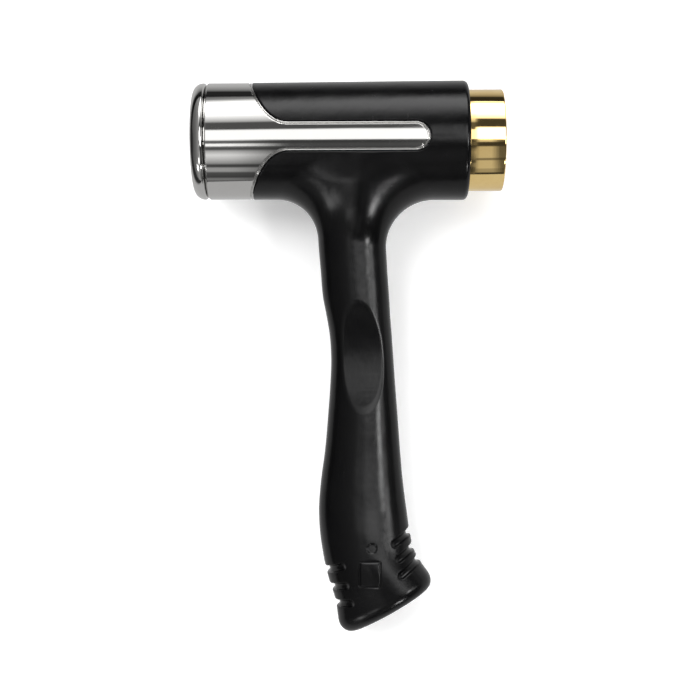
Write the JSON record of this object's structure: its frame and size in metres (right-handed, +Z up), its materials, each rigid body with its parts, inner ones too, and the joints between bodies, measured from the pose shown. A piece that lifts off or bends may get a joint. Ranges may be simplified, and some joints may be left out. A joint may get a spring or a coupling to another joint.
{
  "type": "dead blow mallet",
  "caption": "Dead blow mallet with a chromed steel striking face, a screw-in brass striking face, a canister of loose steel shot and a moulded black sleeve and handle.",
  "frame": {"origin": "under the middle of the bounding box, on the surface that the mallet lies on", "axes": "+X along the head towards the brass face, +Y from the butt of the handle to the head, +Z up from the surface, out of the mallet's side"},
  "size_m": [0.1352, 0.2434, 0.0525],
  "materials": {
    "black_moulding": "fine moulded satin",
    "chrome_plate": "bright polished plate",
    "turned_brass": "fine turned and polished",
    "plain_steel": "as machined",
    "dark_steel": "black oxide"
  },
  "bodies": {
    "mallet": {"body_moulding": "black_moulding", "chrome_shell": "chrome_plate", "steel_face": "chrome_plate", "canister_tube": "plain_steel", "end_plug": "plain_steel", "core_saddle": "plain_steel", "core_rod": "plain_steel", "core_cross_pin": "dark_steel"},
    "shot_charge": {"steel_shot": "plain_steel"},
    "washer_carrier": {"lock_washer": "dark_steel"},
    "brass_tip": {"brass_face": "turned_brass", "face_stud": "dark_steel"}
  },
  "joints": [
    {"name": "shot_slide", "type": "slide", "parent": "mallet", "child": "shot_charge", "axis": [1, 0, 0], "range_m": [-0.008, 0.008]},
    {"name": "brass_face_travel", "type": "slide", "parent": "mallet", "child": "washer_carrier", "axis": [1, 0, 0], "range_m": [0, 0.021]},
    {"name": "brass_face_turn", "type": "hinge", "parent": "washer_carrier", "child": "brass_tip", "pos_m": [0.0676, 0.09563, 0.02641], "axis": [1, 0, 0], "range_deg": [0, 5040]}
  ],
  "couplings": [
    {"joint": "brass_face_travel", "follows": "brass_face_turn", "m_per_rad": 0.00023873}
  ]
}
